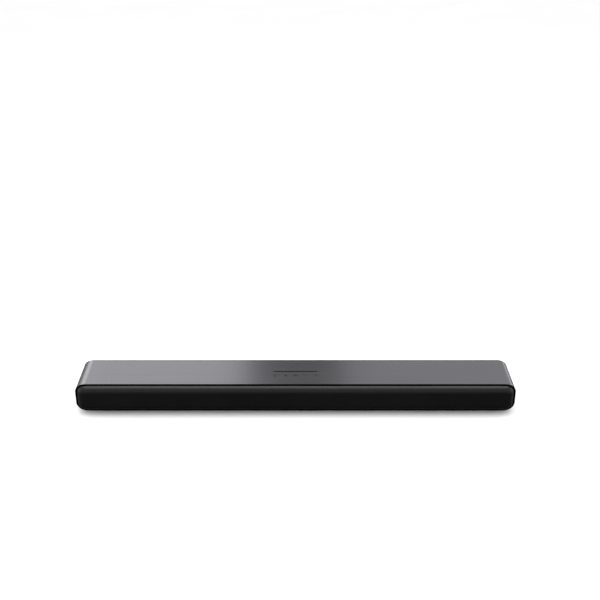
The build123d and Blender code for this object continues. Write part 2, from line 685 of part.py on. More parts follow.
def make_tweeter_dome(x):
    """Silk dome with its voice coil."""
    base_y = BAFFLE_Y + 0.2
    cap = dome_y(DOME_RADIUS, DOME_RISE, 0.4, base_y, x)
    cap &= rod_y(DOME_RADIUS, (base_y - DOME_RISE - PAST, base_y), x)
    return cap + tube_y(DOME_RADIUS, DOME_RADIUS - 0.5, (base_y - 0.3, base_y + 4), x)


def make_tweeter_magnet(x):
    """Chamber cup behind the faceplate, with its pole in the middle."""
    outer = DOME_RADIUS + COIL_CLEARANCE
    cup = rod_y(TWEETER_MAGNET_RADIUS, (BAFFLE_Y + 0.05, BAFFLE_Y + TWEETER_DEPTH), x)
    cup -= tube_y(outer, DOME_RADIUS - 1.1, (BAFFLE_Y - PAST, BAFFLE_Y + 6), x)
    cup -= rod_y(outer, (BAFFLE_Y - PAST, BAFFLE_Y + 0.9), x)
    return chamfer(cup.faces().sort_by(Axis.Y)[-1].edges(), 1.0)


# ---------------------------------------------------------------- electronics
def make_board(x):
    board = box(x, BOARD_Y, (BOARD_Z, BOARD_TOP_Z))
    for hole_x, hole_y in board_screw_places():
        if x[0] < hole_x < x[1]:
            board -= rod_z(1.6, (BOARD_Z - PAST, BOARD_TOP_Z + PAST), hole_x, hole_y)
    return board


def on_board(x, y, width, depth, height):
    """A component's body, sunk a hair into the board that it is soldered to."""
    return block(x, y, width, depth, (BOARD_TOP_Z - 0.1, BOARD_TOP_Z + height))


def make_main_board():
    """Amplifier and input board, with its chips, speaker plugs and the ribbon's socket."""
    board = make_board(MAIN_BOARD_X)
    for chip in CHIPS:
        board += on_board(*chip)
    for x in SPEAKER_PLUG_X:
        board += on_board(x, SPEAKER_PLUG_Y, *SPEAKER_PLUG)
    socket_z = (BOARD_TOP_Z - 0.1, BOARD_TOP_Z + SOCKET_HEIGHT)
    return board + box(RIBBON_SOCKET_X, RIBBON_SOCKET_Y, socket_z)


def make_power_board():
    board = make_board(POWER_BOARD_X)
    for part in POWER_PARTS:
        board += on_board(*part)
    return board


def make_transformer():
    """Ferrite core, wound bobbin and base, as three solids."""
    x, y = TRANSFORMER
    low = BOARD_TOP_Z
    core = block(x, y, 30, 12, (low + 1, low + 25))
    for side in (-1, 1):
        core -= block(x + side * 7.75, y, 6.5, 14, (low + 5, low + 21))
    bobbin = block(x, y, 21, 24, (low + 5.5, low + 20.5))
    bobbin -= block(x, y, 9.4, 12.4, (low, low + 30))
    base = block(x, y, 24, 26, (low, low + 0.9))
    return Compound(children=[core, bobbin, base])


def make_capacitors():
    """Three upright electrolytic cans."""
    made = []
    for x, y, radius, height in CAPACITORS:
        can = rod_z(radius, (BOARD_TOP_Z, BOARD_TOP_Z + height), x, y)
        made.append(fillet(can.faces().sort_by(Axis.Z)[-1].edges(), 1.0))
    return Compound(children=made)


def make_heatsink():
    """Extruded aluminium fins over the amplifier chip."""
    low = BOARD_TOP_Z
    sink = box(HEATSINK_X, HEATSINK_Y, (low, low + 4))
    for i in range(FIN_COUNT):
        left = HEATSINK_X[0] + i * FIN_PITCH
        sink += box((left, left + FIN_THICK), HEATSINK_Y, (low + 3.5, low + HEATSINK_HEIGHT))
    return sink


def make_wireless_module():
    """Radio daughter board with a screening can and a printed aerial area."""
    low = BOARD_TOP_Z
    board = box((68, 96), (-25, -15.5), (low, low + 0.9))
    return board + box((71, 86), (-24, -17), (low + 0.8, low + 3.0))


def make_sensor_board():
    y = BAFFLE_BACK_Y + 0.25
    return box((IR_X - 11, IR_X + 11), (y, y + BOARD_THICK), (MIDDLE_Z - 7, MIDDLE_Z + 7))


def make_ir_receiver():
    """Domed infrared receiver, looking out through the grille."""
    front = BAFFLE_Y - 1.5
    body = box((IR_X - 3.4, IR_X + 3.4), (front, BAFFLE_BACK_Y + 0.2), (MIDDLE_Z - 3.6, MIDDLE_Z + 3.6))
    return body + Pos(IR_X, front, MIDDLE_Z) * Sphere(IR_LENS_RADIUS)


def make_key_ribbon():
    """Flat flexible cable from the key board down to the main board."""
    start_z = KEY_BOARD_TOP_Z - BOARD_THICK - SOCKET_HEIGHT / 2
    end_z = BOARD_TOP_Z + SOCKET_HEIGHT / 2
    back = LIGHT_BAR_Y + 11.5
    corners = [
        (LIGHT_BAR_Y + 8.05, start_z),
        (back, start_z),
        (back, end_z),
        (RIBBON_SOCKET_Y[1] + 0.05, end_z),
    ]
    strip = Plane.YZ * trace(FilletPolyline(*corners, radius=RIBBON_BEND), RIBBON_THICK)
    return Pos(RIBBON_X[0], 0, 0) * extrude(strip, RIBBON_X[1] - RIBBON_X[0], dir=(1, 0, 0))


def lead(points):
    """A round lead on straight runs with round bends."""
    route = FilletPolyline(*points, radius=LEAD_BEND)
    section = Plane(route @ 0, z_dir=route % 0) * Circle(LEAD_RADIUS)
    return sweep(section, path=route)


def make_speaker_leads(side):
    """Twin lead from the amplifier's plug along the floor to the woofer, and another on to the tweeter."""
    plug_x = SPEAKER_PLUG_X[0 if side < 0 else 1]
    plug_z = BOARD_TOP_Z + 3
    floor_z = FLOOR_Z + LEAD_LIFT
    near, far = side * (WOOFER_X - LEAD_NEAR), side * (WOOFER_X + LEAD_FAR)
    tweeter_x, tweeter_z = side * TWEETER_X, LEAD_END_Z + 2
    magnet_back = BAFFLE_Y + TWEETER_DEPTH
    to_woofer = [
        (plug_x, SPEAKER_PLUG_Y - SPEAKER_PLUG[1] / 2 - 0.05, plug_z),
        (plug_x, LEAD_LANE_Y, plug_z),
        (plug_x, LEAD_LANE_Y, floor_z),
        (near, LEAD_LANE_Y, floor_z),
        (near, LEAD_END_Y, floor_z),
        (near, LEAD_END_Y, LEAD_END_Z),
    ]
    to_tweeter = [
        (far, LEAD_END_Y, LEAD_END_Z),
        (far, LEAD_END_Y, floor_z),
        (far, LEAD_LANE_Y, floor_z),
        (tweeter_x, LEAD_LANE_Y, floor_z),
        (tweeter_x, magnet_back + 6, floor_z),
        (tweeter_x, magnet_back + 6, tweeter_z),
        (tweeter_x, magnet_back + 0.05, tweeter_z),
    ]
    return Compound(children=[lead(to_woofer), lead(to_tweeter)])


# ---------------------------------------------------------------- sockets
def make_shell_socket(x, size, tongue_y, tongue_z):
    """A folded metal shell with an open face and a contact tongue inside."""
    z = BOARD_TOP_Z
    body = block(x, 0, size[0], 2 * DEPTH, (z, z + size[1]))
    body &= box((-LENGTH, LENGTH), (SOCKET_BACK_Y, SOCKET_FACE_Y), (0, HEIGHT))
    mouth = block(x, 0, size[0] - 1.2, 2 * DEPTH, (z + 0.8, z + size[1] - 0.8))
    mouth &= box((-LENGTH, LENGTH), (SOCKET_BACK_Y + 2, DEPTH), (0, HEIGHT))
    return body - mouth + box((x - 5.6, x + 5.6), tongue_y, (z + tongue_z[0], z + tongue_z[1]))


def make_video_socket():
    return make_shell_socket(VIDEO_X, VIDEO_SIZE, (SOCKET_BACK_Y + 1, SOCKET_FACE_Y - 3), (3.0, 3.9))


def make_usb_socket():
    return make_shell_socket(USB_X, USB_SIZE, (SOCKET_BACK_Y + 1, SOCKET_FACE_Y - 2), (3.9, 5.7))


def make_optical_socket():
    """Square-bodied light-pipe socket, closed by a sprung shutter."""
    x, z, half = OPTICAL_X, OPTICAL_Z, OPTICAL_HALF
    face = SOCKET_FACE_Y
    width = (x - OPTICAL_WIDTH / 2, x + OPTICAL_WIDTH / 2)
    body = box(width, (SOCKET_BACK_Y, face), (BOARD_TOP_Z, z + OPTICAL_TOP))
    body -= box((x - half, x + half), (face - 11, face + PAST), (z - half, z + half))
    # pockets for the shutter's pivot pins
    return body - rod_x(PIN_RADIUS + 0.06, 2 * half + 1.6, x, SHUTTER_Y, SHUTTER_Z)


def make_optical_shutter():
    """Flap that swings inwards and up as the plug goes in."""
    half = OPTICAL_HALF - 0.2
    y = (SHUTTER_Y - SHUTTER_THICK / 2, SHUTTER_Y + SHUTTER_THICK / 2)
    flap = box((OPTICAL_X - half, OPTICAL_X + half), y, (OPTICAL_Z - OPTICAL_HALF + 0.25, SHUTTER_Z))
    return flap + rod_x(PIN_RADIUS, 2 * OPTICAL_HALF + 1.2, OPTICAL_X, SHUTTER_Y, SHUTTER_Z)


def make_aux_jack():
    """3.5 mm stereo jack with a round collar."""
    half = AUX_RISE
    y = (SOCKET_BACK_Y + 2, SOCKET_FACE_Y - BAY_WALL - 0.4)
    body = box((AUX_X - half, AUX_X + half), y, (BOARD_TOP_Z, AUX_Z + half))
    body += rod_y(AUX_COLLAR, (SOCKET_FACE_Y - 4, SOCKET_FACE_Y), AUX_X, AUX_Z)
    return body - rod_y(AUX_BORE, (SOCKET_FACE_Y - AUX_DEPTH, SOCKET_FACE_Y + PAST), AUX_X, AUX_Z)


def make_power_inlet():
    """Two-pin figure-of-eight mains inlet."""
    face = SOCKET_FACE_Y
    width = (INLET_X - INLET_HALF, INLET_X + INLET_HALF)
    body = box(width, (SOCKET_BACK_Y - 1, face), (BOARD_TOP_Z, INLET_Z + INLET_TOP))
    body -= racetrack_y(INLET_OPENING, (face - 11, face + PAST), INLET_X, INLET_Z)
    for side in (-1, 1):
        body += rod_y(INLET_PIN[1], (face - 12, face - 2), INLET_X + side * INLET_PIN[0], INLET_Z)
    return body


# ---------------------------------------------------------------- rear
def make_rear_cover():
    """Rear panel with a sunk connector bay, vents and two bosses for a wall bracket."""
    cover = slab(WALL + FIT, (REAR_Y - REAR_THICK, REAR_Y))
    bay_wall_z = (BAY_Z[0] - BAY_WALL, BAY_Z[1] + BAY_WALL)
    bay = block(0, 0, 2 * (BAY_HALF + BAY_WALL), 2 * (REAR_Y - 1), bay_wall_z)
    cover += bay & behind(SOCKET_FACE_Y - BAY_WALL)
    cover -= block(0, 0, 2 * BAY_HALF, 2 * DEPTH, BAY_Z) & behind(SOCKET_FACE_Y)
    for hole in socket_holes():
        cover -= hole
    for side in (-1, 1):
        x = side * INSERT_SPACING / 2
        boss_radius, boss_length = INSERT_BOSS
        cover += rod_y(boss_radius, (REAR_Y - boss_length, REAR_Y - REAR_THICK + SINK), x, INSERT_Z)
        cover -= rod_y(INSERT_RADIUS + 0.05, (REAR_Y - INSERT_LENGTH, REAR_Y + PAST), x, INSERT_Z)
        for i in range(VENT_COUNT):
            vent_x = side * (VENT_START_X + i * VENT_PITCH)
            through = (REAR_Y - 5, REAR_Y + PAST)
            cover -= rounded_y(VENT_SIZE, VENT_SIZE[0] / 2 - 0.05, through, vent_x, VENT_Z)
    for x in REAR_BOSS_X:
        cover -= rod_y(SCREW_RADIUS + 0.3, (REAR_Y - 5, REAR_Y + PAST), x, REAR_BOSS_Z)
        cover -= rod_y(SCREW_HEAD_RADIUS + 0.2, (REAR_Y - REAR_SCREW_SUNK, REAR_Y + PAST), x, REAR_BOSS_Z)
    return cover


def behind(y):
    """Everything from a depth to the rear."""
    return box((-LENGTH, LENGTH), (y, 2 * DEPTH), (-HEIGHT, 2 * HEIGHT))


def socket_holes():
    """Cut-outs in the bay's wall, a little larger than each socket."""
    y = (SOCKET_FACE_Y - BAY_WALL - PAST, SOCKET_FACE_Y + PAST)
    tops = [
        (VIDEO_X, VIDEO_SIZE[0] / 2, BOARD_TOP_Z + VIDEO_SIZE[1]),
        (OPTICAL_X, OPTICAL_WIDTH / 2, OPTICAL_Z + OPTICAL_TOP),
        (USB_X, USB_SIZE[0] / 2, BOARD_TOP_Z + USB_SIZE[1]),
        (INLET_X, INLET_HALF, INLET_Z + INLET_TOP),
    ]
    low = BOARD_TOP_Z - SOCKET_GAP
    holes = []
    for x, half, top in tops:
        reach = half + SOCKET_GAP
        holes.append(box((x - reach, x + reach), y, (low, top + SOCKET_GAP)))
    return holes + [rod_y(AUX_COLLAR + 0.2, y, AUX_X, AUX_Z)]


def make_wall_inserts():
    """Two threaded brass inserts, shown with plain bores."""
    y = (REAR_Y - INSERT_LENGTH, REAR_Y)
    return Compound(children=[
        tube_y(INSERT_RADIUS, INSERT_HOLE_RADIUS, y, side * INSERT_SPACING / 2, INSERT_Z) for side in (-1, 1)
    ])


# ---------------------------------------------------------------- fasteners
def screw(head_radius, head, shank_radius, shank):
    """A pan-head screw pointing up +Z, with its head's underside at z = 0 and a cross recess."""
    made = rod_z(head_radius, (-head, 0)) + rod_z(shank_radius, (-0.2, shank))
    made = fillet(made.faces().sort_by(Axis.Z)[0].edges(), head * 0.4)
    slot = Box(head_radius * 1.2, head_radius * 0.3, head)
    return made - Pos(0, 0, -head) * slot - Pos(0, 0, -head) * Rot(0, 0, 90) * slot


def make_cabinet_screws():
    """Long screws up from under the cabinet, and the rear cover's row."""
    long = screw(SCREW_HEAD_RADIUS, SCREW_HEAD, SCREW_RADIUS, 14)
    made = [Pos(x, y, BASE_Z + SCREW_SUNK) * long for x in CABINET_BOSS_X for y in CABINET_BOSS_Y]
    rear = screw(SCREW_HEAD_RADIUS, REAR_SCREW_SUNK, SCREW_RADIUS, 12)
    made += [Pos(x, REAR_Y - REAR_SCREW_SUNK, REAR_BOSS_Z) * Rot(90, 0, 0) * rear for x in REAR_BOSS_X]
    return Compound(children=made)


def make_driver_screws():
    one = Rot(-90, 0, 0) * screw(2.4, 1.4, 1.2, 4.8)
    return Compound(children=[Pos(x, DRIVER_FRONT_Y, z) * one for x, z in driver_screw_places()])


def make_board_screws():
    """Screws down into the bottom cover's standoffs, and up through the key board."""
    down = Rot(180, 0, 0) * screw(2.4, 1.5, 1.0, 6.0)
    made = [Pos(x, y, BOARD_TOP_Z) * down for x, y in board_screw_places()]
    up = screw(2.2, 1.5, 1.0, 5.0)
    made += [Pos(x, y, KEY_BOARD_TOP_Z - BOARD_THICK) * up for x, y in KEY_BOARD_SCREWS]
    return Compound(children=made)


# ---------------------------------------------------------------- the assembly
def cabinet_nodes():
    nodes = {
        "top_shell": make_top_shell(),
        "bottom_cover": make_bottom_cover(),
        "rear_cover": make_rear_cover(),
        "front_bezel": make_front_bezel(),
        "grille": make_grille(),
        "grille_cloth": make_grille_cloth(),
        "baffle": make_baffle(),
        "light_bar": make_light_bar(),
        "wall_mount_inserts": make_wall_inserts(),
        "cabinet_screws": make_cabinet_screws(),
        "driver_screws": make_driver_screws(),
        "board_screws": make_board_screws(),
    }
    for i, name in enumerate(KEY_NAMES):
        nodes[name] = make_key(i)
    for name, (x, y) in zip(("front_left", "front_right", "rear_left", "rear_right"), foot_places()):
        nodes[f"{name}_foot"] = make_foot(x, y)
    return nodes


def electronics_nodes():
    return {
        "key_board": make_key_board(),
        "key_switches": make_key_switches(),
        "key_ribbon": make_key_ribbon(),
        "main_board": make_main_board(),
        "power_board": make_power_board(),
        "power_transformer": make_transformer(),
        "filter_capacitors": make_capacitors(),
        "heatsink": make_heatsink(),
        "wireless_module": make_wireless_module(),
        "sensor_board": make_sensor_board(),
        "ir_receiver": make_ir_receiver(),
        "video_socket": make_video_socket(),
        "optical_socket": make_optical_socket(),
        "optical_shutter": make_optical_shutter(),
        "aux_jack": make_aux_jack(),
        "usb_socket": make_usb_socket(),
        "power_inlet": make_power_inlet(),
    }


def driver_nodes(name, side):
    woofer_x, tweeter_x = side * WOOFER_X, side * TWEETER_X
    return {
        f"{name}_woofer_basket": make_basket(woofer_x),
        f"{name}_woofer_magnet": make_woofer_magnet(woofer_x),
        f"{name}_woofer_cone": make_cone(woofer_x),
        f"{name}_woofer_surround": make_surround(woofer_x),
        f"{name}_woofer_dust_cap": make_dust_cap(woofer_x),
        f"{name}_woofer_voice_coil": make_voice_coil(woofer_x),
        f"{name}_woofer_spider": make_spider(woofer_x),
        f"{name}_tweeter_faceplate": make_tweeter_faceplate(tweeter_x),
        f"{name}_tweeter_dome": make_tweeter_dome(tweeter_x),
        f"{name}_tweeter_magnet": make_tweeter_magnet(tweeter_x),
        f"{name}_speaker_leads": make_speaker_leads(side),
    }


def build():
    return {
        **cabinet_nodes(),
        **electronics_nodes(),
        **driver_nodes("left", -1),
        **driver_nodes("right", 1),
    }


os.makedirs("parts", exist_ok=True)
for name, shape in build().items():
    export_step(shape, f"parts/{name}.step")
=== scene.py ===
"""Looks of a slim television soundbar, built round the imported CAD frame.

Metres throughout. +X runs along the bar, -Y is the front and +Z is up."""

import json
import math

import bmesh
import bpy
from mathutils import Matrix, Vector


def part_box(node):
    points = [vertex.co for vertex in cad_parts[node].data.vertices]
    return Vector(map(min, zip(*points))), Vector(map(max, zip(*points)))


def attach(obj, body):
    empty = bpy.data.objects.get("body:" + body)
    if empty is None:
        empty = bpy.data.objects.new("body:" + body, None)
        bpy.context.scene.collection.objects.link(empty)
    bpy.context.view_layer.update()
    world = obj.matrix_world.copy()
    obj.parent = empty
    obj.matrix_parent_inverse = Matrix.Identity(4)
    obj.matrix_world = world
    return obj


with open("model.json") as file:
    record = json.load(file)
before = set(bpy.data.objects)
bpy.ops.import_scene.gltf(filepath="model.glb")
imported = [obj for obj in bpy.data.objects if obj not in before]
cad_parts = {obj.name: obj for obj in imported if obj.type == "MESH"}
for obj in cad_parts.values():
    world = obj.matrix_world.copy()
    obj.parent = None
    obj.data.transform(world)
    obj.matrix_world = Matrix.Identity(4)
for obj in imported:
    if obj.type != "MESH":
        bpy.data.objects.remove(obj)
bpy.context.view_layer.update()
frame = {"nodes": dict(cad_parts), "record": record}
nodes = frame["nodes"]
scene = bpy.context.scene

MM = 0.001
SKIN = 0.1 * MM                # depth that a full bump stands for, on a fine finish
RIM_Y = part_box("front_bezel")[0].y
BASE_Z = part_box("bottom_cover")[0].z


# ---------------------------------------------------------------- node helpers
MIX_FACTOR, MIX_LOW, MIX_HIGH = 0, 6, 7        # a colour mix's sockets, by their index
MIX_RESULT = 2


class Graph:
    """A small wrapper that adds and joins nodes of one material."""

    def __init__(self, name):
        self.material = bpy.data.materials.new(name)
        self.material.use_nodes = True
        self.tree = self.material.node_tree
        self.shader = self.tree.nodes["Principled BSDF"]
        self.coordinates = self.add("ShaderNodeTexCoord").outputs["Object"]

    def add(self, kind, inputs=None, **settings):
        """A new node with its settings and its inputs, by name or index."""
        node = self.tree.nodes.new(kind)
        for key, value in settings.items():
            setattr(node, key, value)
        for key, value in (inputs or {}).items():
            self.put(node.inputs[key], value)
        return node

    def put(self, socket, value):
        """Joins a node's output to the socket, or sets its value."""
        if isinstance(value, bpy.types.NodeSocket):
            self.tree.links.new(value, socket)
        else:
            socket.default_value = value

    def set(self, **inputs):
        """Sets the shader's sockets, with _ for a space in a socket's name."""
        for key, value in inputs.items():
            self.put(self.shader.inputs[key.replace("_", " ")], value)

    def stretched(self, scale):
        """Object coordinates, scaled by axis."""
        return self.add("ShaderNodeMapping", {"Vector": self.coordinates, "Scale": scale}).outputs[0]

    def noise(self, scale, vector=None, detail=3.0, roughness=0.5):
        """A noise value, along the object's own coordinates unless others are given."""
        place = vector or self.coordinates
        inputs = {"Vector": place, "Scale": scale, "Detail": detail, "Roughness": roughness}
        return self.add("ShaderNodeTexNoise", inputs).outputs["Fac"]

    def map(self, value, low, high, from_low=0.3, from_high=0.7):
        """A value moved to another range. Noise mostly lies between 0.3 and 0.7."""
        inputs = {"Value": value, "From Min": from_low, "From Max": from_high}
        inputs.update({"To Min": low, "To Max": high})
        return self.add("ShaderNodeMapRange", inputs).outputs[0]

    def mix(self, factor, low, high):
        """A colour between two, which are colours or other nodes' outputs."""
        node = self.add("ShaderNodeMix", data_type="RGBA")
        for index, value in ((MIX_FACTOR, factor), (MIX_LOW, low), (MIX_HIGH, high)):
            self.put(node.inputs[index], value)
        return node.outputs[MIX_RESULT]

    def ramp(self, value, low, high, from_low=0.3, from_high=0.7):
        """A colour between two, by a value."""
        return self.mix(self.map(value, 0.0, 1.0, from_low, from_high), (*low, 1.0), (*high, 1.0))

    def math(self, operation, a, b):
        """Two values, added or multiplied."""
        return self.add("ShaderNodeMath", {0: a, 1: b}, operation=operation).outputs[0]

    def bump(self, height, strength, distance):
        """Small relief in the surface."""
        inputs = {"Height": height, "Strength": strength, "Distance": distance}
        self.put(self.shader.inputs["Normal"], self.add("ShaderNodeBump", inputs).outputs[0])


# ---------------------------------------------------------------- materials
HOLE_PITCH = 1.5 * MM          # of the grille


def shade(colour, factor):
    """A colour made darker or lighter."""
    return tuple(part * factor for part in colour)


def brushed_metal():
    """Dark grey metal finish, brushed along the wrap: every streak stays at one depth."""
    g = Graph("brushed_shell")
    fine = g.noise(1.0, g.stretched((6.0, 2200.0, 6.0)), 4.0, 0.6)
    broad = g.noise(1.0, g.stretched((2.5, 420.0, 2.5)), 5.0, 0.65)
    both = g.math("ADD", g.math("MULTIPLY", fine, 0.45), g.math("MULTIPLY", broad, 0.55))
    cloud = g.noise(7.0, detail=2.0)
    wear = g.math("ADD", g.math("MULTIPLY", both, 0.8), g.math("MULTIPLY", cloud, 0.2))
    g.set(
        Base_Color=g.ramp(both, (0.149, 0.147, 0.159), (0.173, 0.171, 0.185), 0.36, 0.64),
        Metallic=0.95,
        Roughness=g.map(wear, 0.22, 0.28),
    )
    g.bump(both, 0.05, SKIN)
    return g.material


def moulded_plastic(name, colour, roughness=0.5, grain=2600.0, strength=0.12):
    """Injection-moulded plastic with a spark-eroded grain."""
    g = Graph(name)
    speck = g.noise(grain, detail=2.0)
    cloud = g.noise(18.0, detail=3.0)
    g.set(
        Base_Color=g.ramp(cloud, shade(colour, 0.82), shade(colour, 1.18)),
        Roughness=g.map(speck, roughness - 0.06, roughness + 0.08),
    )
    g.bump(speck, strength, SKIN)
    return g.material


def gloss_plastic(name, colour, roughness=0.08, **extra):
    """Polished plastic with faint hairline wear."""
    g = Graph(name)
    haze = g.noise(40.0, detail=4.0)
    hairline = g.noise(1.0, g.stretched((30.0, 700.0, 700.0)), 3.0)
    g.set(
        Base_Color=g.ramp(haze, shade(colour, 0.8), shade(colour, 1.25)),
        Roughness=g.map(hairline, roughness, roughness + 0.07),
        **extra,
    )
    g.bump(haze, 0.03, 2 * SKIN)
    return g.material


def perforated_grille():
    """Satin black steel with a fine, even pattern of holes. The holes are painted darker than the
    sheet: partly the black cloth seen through them, partly painted shade inside them.
    """
    g = Graph("grille_metal")
    place = g.stretched((1 / HOLE_PITCH, 0.6 / HOLE_PITCH, 1 / HOLE_PITCH))
    cells = g.add("ShaderNodeTexVoronoi", {"Vector": place, "Scale": 1.0, "Randomness": 0.0})
    hole_shade_mask = g.map(cells.outputs["Distance"], 0.0, 1.0, 0.30, 0.42)
    tone = g.noise(14.0, detail=3.0)
    sheet = g.ramp(tone, (0.0034, 0.0034, 0.0035), (0.0046, 0.0046, 0.0047))
    g.set(
        # Painted shade: the holes are coloured darker than the sheet and the cloth behind them, for the
        # shade inside the holes over the black cloth.
        Base_Color=g.mix(hole_shade_mask, (0.002, 0.002, 0.002, 1.0), sheet),
        Roughness=g.map(tone, 0.34, 0.41),
        Specular_IOR_Level=0.5,
    )
    g.bump(hole_shade_mask, 0.08, 2 * SKIN)
    return g.material


def metal(name, colour, roughness, scale=(60.0, 60.0, 60.0), spread=0.1):
    """Plated, cast or turned metal with a stretched grain."""
    g = Graph(name)
    grain = g.noise(1.0, g.stretched(scale), 4.0, 0.6)
    g.set(
        Base_Color=g.ramp(grain, shade(colour, 0.8), colour),
        Metallic=1.0,
        Roughness=g.map(grain, roughness, roughness + spread),
    )
    g.bump(grain, 0.08, SKIN)
    return g.material


def woven(name, dark, light, pitch, roughness=0.85, sheen=0.3):
    """Plain weave of two crossing threads."""
    g = Graph(name)
    waves = []
    for axis in ("X", "Z"):
        inputs = {"Vector": g.coordinates, "Scale": 1.0 / pitch, "Distortion": 0.0}
        waves.append(g.add("ShaderNodeTexWave", inputs, bands_direction=axis).outputs["Fac"])
    weave = g.math("MULTIPLY", waves[0], waves[1])
    g.set(Base_Color=g.ramp(weave, dark, light, 0.0, 0.9), Roughness=roughness, Sheen_Weight=sheen)
    g.bump(weave, 0.4, 2 * SKIN)
    return g.material


def rubber():
    """Soft black rubber with a fine dusty speckle."""
    g = Graph("rubber")
    speck = g.noise(1400.0, detail=3.0)
    g.set(
        Base_Color=g.ramp(speck, (0.012, 0.012, 0.012), (0.03, 0.03, 0.03)),
        Roughness=g.map(speck, 0.7, 0.9),
    )
    g.bump(speck, 0.2, SKIN)
    return g.material


def circuit_board():
    """Green solder mask over copper tracks, with pale pads."""
    g = Graph("board")
    inputs = {"Vector": g.stretched((260, 260, 20)), "Scale": 1.0}
    cells = g.add("ShaderNodeTexVoronoi", inputs, distance="CHEBYCHEV")
    track = g.map(cells.outputs["Distance"], 0.0, 1.0, 0.35, 0.4)
    base = g.ramp(track, (0.006, 0.085, 0.035), (0.012, 0.15, 0.06), 0.0, 1.0)
    inputs = {"Vector": g.stretched((420, 420, 20)), "Scale": 1.0, "Randomness": 0.55}
    dots = g.add("ShaderNodeTexVoronoi", inputs)
    pad = g.map(dots.outputs["Distance"], 1.0, 0.0, 0.12, 0.16)
    g.set(
        Base_Color=g.mix(pad, base, (0.62, 0.58, 0.5, 1.0)),
        Roughness=g.map(pad, 0.38, 0.25, 0.0, 1.0),
        Metallic=g.map(pad, 0.0, 0.8, 0.0, 1.0),
    )
    g.bump(track, 0.15, SKIN)
    return g.material


def paper_pulp():
    """Pressed dark paper fibre."""
    g = Graph("paper_cone")
    fibre = g.noise(420.0, detail=6.0, roughness=0.7)
    g.set(
        Base_Color=g.ramp(fibre, (0.018, 0.018, 0.018), (0.05, 0.05, 0.052)),
        Roughness=g.map(fibre, 0.75, 0.95),
    )
    g.bump(fibre, 0.35, 3 * SKIN)
    return g.material


def printed_ink():
    """Flat black screen-printed ink, with almost no shine."""
    g = Graph("printed_ink")
    speck = g.noise(900.0, detail=2.0)
    g.set(
        Base_Color=g.ramp(speck, (0.0015, 0.0015, 0.0015), (0.003, 0.003, 0.003)),
        Roughness=g.map(speck, 0.75, 0.9),
        Specular_IOR_Level=0.05,
    )
    return g.material


# ---------------------------------------------------------------- looks by slot
MATERIALS = {
    "brushed_shell": brushed_metal(),
    "cover_plastic": moulded_plastic("cover_plastic", (0.016, 0.016, 0.017), 0.52),
    "gloss_rim": gloss_plastic("gloss_rim", (0.0006, 0.0006, 0.0009), Specular_IOR_Level=0.08),
    "grille_metal": perforated_grille(),
    "acoustic_cloth": woven("acoustic_cloth", (0.003, 0.003, 0.003), (0.015, 0.015, 0.015), 0.0006),
    "inner_plastic": moulded_plastic("inner_plastic", (0.03, 0.03, 0.031), 0.6, 1500.0),
    "diffuser": gloss_plastic("diffuser", (0.003, 0.003, 0.004), 0.18, Specular_IOR_Level=0.2),
    "rubber": rubber(),
    "board": circuit_board(),
    "connector_metal": metal("connector_metal", (0.78, 0.77, 0.75), 0.22, (200.0, 30.0, 200.0)),
    "connector_plastic": moulded_plastic("connector_plastic", (0.012, 0.012, 0.012), 0.4, 3000.0, 0.06),
    "aluminium_fins": metal("aluminium_fins", (0.62, 0.63, 0.65), 0.34, (30.0, 700.0, 30.0)),
    "capacitor_sleeve": gloss_plastic("capacitor_sleeve", (0.012, 0.018, 0.06), 0.2),
    "winding_tape": gloss_plastic("winding_tape", (0.6, 0.42, 0.05), 0.3),
    "paper_cone": paper_pulp(),
    "surround_rubber": moulded_plastic("surround_rubber", (0.014, 0.014, 0.014), 0.62, 900.0, 0.1),
    "basket_steel": moulded_plastic("basket_steel", (0.02, 0.02, 0.021), 0.42, 700.0, 0.2),
    "magnet_ferrite": moulded_plastic("magnet_ferrite", (0.05, 0.05, 0.053), 0.55, 500.0, 0.2),
    "spider_cloth": woven("spider_cloth", (0.22, 0.12, 0.02), (0.62, 0.42, 0.12), 0.0009, 0.8),
    "coil_copper": metal("coil_copper", (0.78, 0.36, 0.15), 0.3, (40.0, 2500.0, 40.0)),
    "silk_dome": woven("silk_dome", (0.006, 0.006, 0.007), (0.03, 0.03, 0.033), 0.0005, 0.6),
    "screw_steel": metal("screw_steel", (0.09, 0.09, 0.095), 0.34),
    "insert_brass": metal("insert_brass", (0.72, 0.5, 0.2), 0.3),
    "lead_sleeve": moulded_plastic("lead_sleeve", (0.3, 0.012, 0.012), 0.45, 900.0, 0.06),
    "ribbon_film": moulded_plastic("ribbon_film", (0.7, 0.7, 0.72), 0.35, 900.0, 0.05),
    "ir_window": gloss_plastic("ir_window", (0.02, 0.004, 0.005), 0.06),
    "printed_ink": printed_ink(),
}


def dress_cad_nodes():
    """Every CAD node that stays gets the material of its slot."""
    for part in frame["record"]["subparts"]:
        data = nodes[part["node"]].data
        data.materials.clear()
        data.materials.append(MATERIALS[part["material_slot"]])


# ---------------------------------------------------------------- studio
LENS = 59.77                   # mm
SENSOR_WIDTH = 36.0            # mm
CAMERA_PITCH = 26.063          # degrees below the horizontal
CAMERA_FRONT = 1.5696          # in front of the rim's plane
CAMERA_HEIGHT = 0.9959         # above the cabinet's underside
CAMERA_SHIFT = 0.0076          # sideways, as a part of the picture's width


def make_camera():
    """The photographer's place: in front of the bar's middle, looking down at it."""
    data = bpy.data.cameras.new("camera")
    data.lens = LENS
    data.sensor_width = SENSOR_WIDTH
    data.shift_x = CAMERA_SHIFT
    camera = bpy.data.objects.new("camera", data)
    camera.location = (0.0, RIM_Y - CAMERA_FRONT, BASE_Z + CAMERA_HEIGHT)
    camera.rotation_euler = (math.radians(90 - CAMERA_PITCH), 0.0, 0.0)
    scene.collection.objects.link(camera)
    scene.camera = camera


